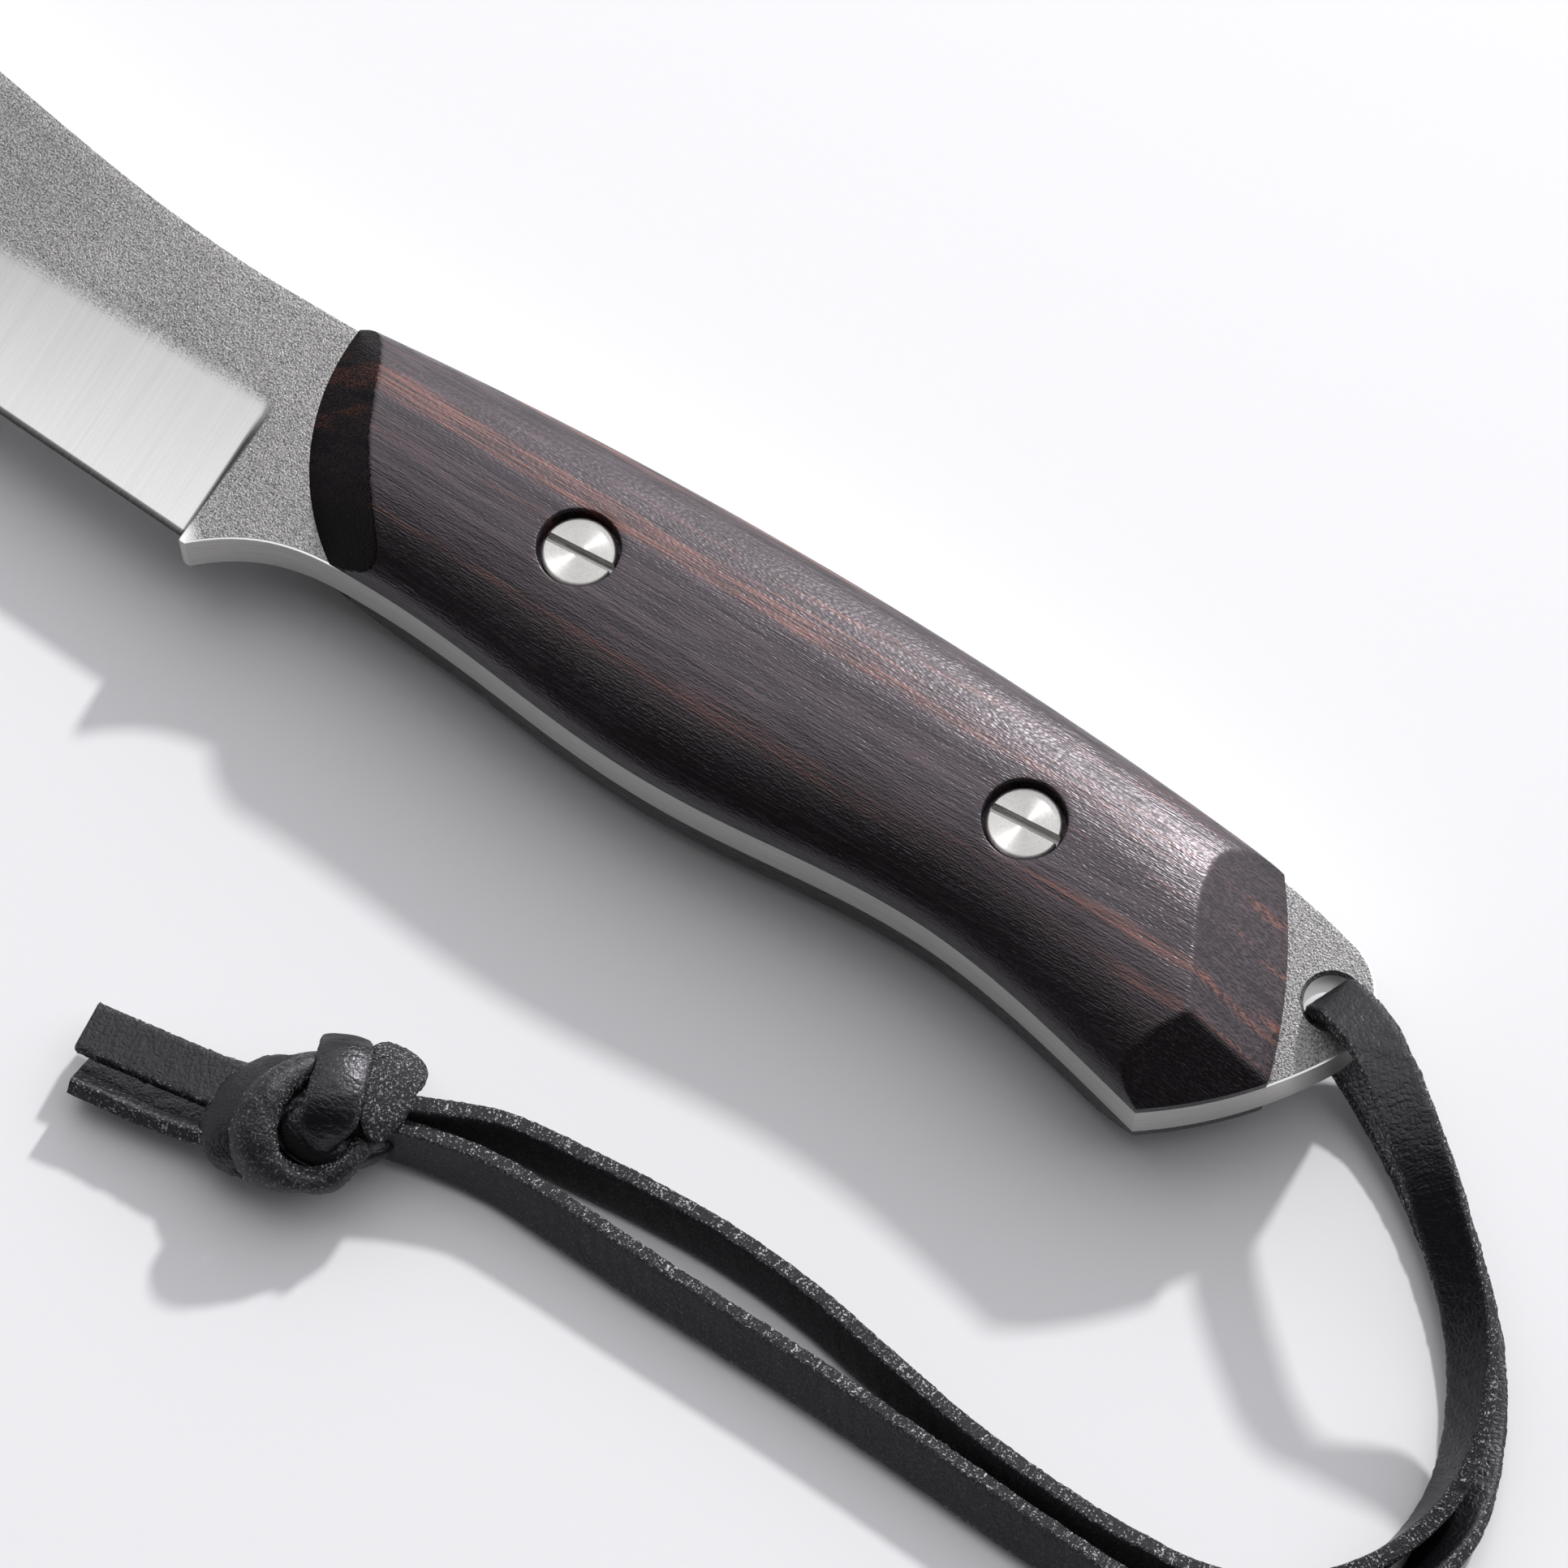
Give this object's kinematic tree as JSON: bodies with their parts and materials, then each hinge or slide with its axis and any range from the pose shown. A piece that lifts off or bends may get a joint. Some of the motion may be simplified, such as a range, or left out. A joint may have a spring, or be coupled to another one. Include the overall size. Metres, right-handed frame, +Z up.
{
  "type": "fixed-blade camp knife",
  "caption": "Fixed-blade camp knife: a full-tang steel plate between wooden scales clamped by slotted barrel bolts, with a flat leather lace looped through the butt and knotted.",
  "frame": {"origin": "on the surface the knife lies on, under the middle of the line between the bolts", "axes": "+X from the tip to the butt, +Y from the cutting edge to the spine, +Z up out of the surface"},
  "size_m": [0.2915, 0.0946, 0.0196],
  "materials": {
    "plate_steel": "bead-blasted flats, satin ground bevel, finely brushed edges",
    "scale_wood": "satin, dark striped hardwood with open pores",
    "bolt_steel": "turned faces, bright",
    "lace_leather": "semi-gloss grain side, rough cut edges"
  },
  "bodies": {
    "knife": {"blade_tang": "plate_steel", "upper_scale": "scale_wood", "lower_scale": "scale_wood", "lace_upper_strand": "lace_leather", "lace_lower_strand": "lace_leather", "lace_knot": "lace_leather", "lace_upper_tail": "lace_leather", "lace_lower_tail": "lace_leather"},
    "front_nut": {"front_barrel_nut": "bolt_steel"},
    "rear_nut": {"rear_barrel_nut": "bolt_steel"},
    "front_screw": {"front_screw": "bolt_steel"},
    "rear_screw": {"rear_screw": "bolt_steel"}
  },
  "joints": [
    {"name": "front_nut_turn", "type": "hinge", "parent": "knife", "child": "front_nut", "pos_m": [-0.02775, 0.001, 0.0098], "axis": [0, 0, -1], "range_deg": [0, 2340]},
    {"name": "front_screw_lift", "type": "slide", "parent": "knife", "child": "front_screw", "axis": [0, 0, 1], "range_m": [0, 0.00455]},
    {"name": "rear_nut_turn", "type": "hinge", "parent": "knife", "child": "rear_nut", "pos_m": [0.02775, 0.0002, 0.0098], "axis": [0, 0, -1], "range_deg": [0, 2340]},
    {"name": "rear_screw_lift", "type": "slide", "parent": "knife", "child": "rear_screw", "axis": [0, 0, 1], "range_m": [0, 0.00455]}
  ],
  "couplings": [
    {"joint": "front_nut_turn", "follows": "front_screw_lift", "rad_per_m": 8976},
    {"joint": "rear_nut_turn", "follows": "rear_screw_lift", "rad_per_m": 8976}
  ]
}
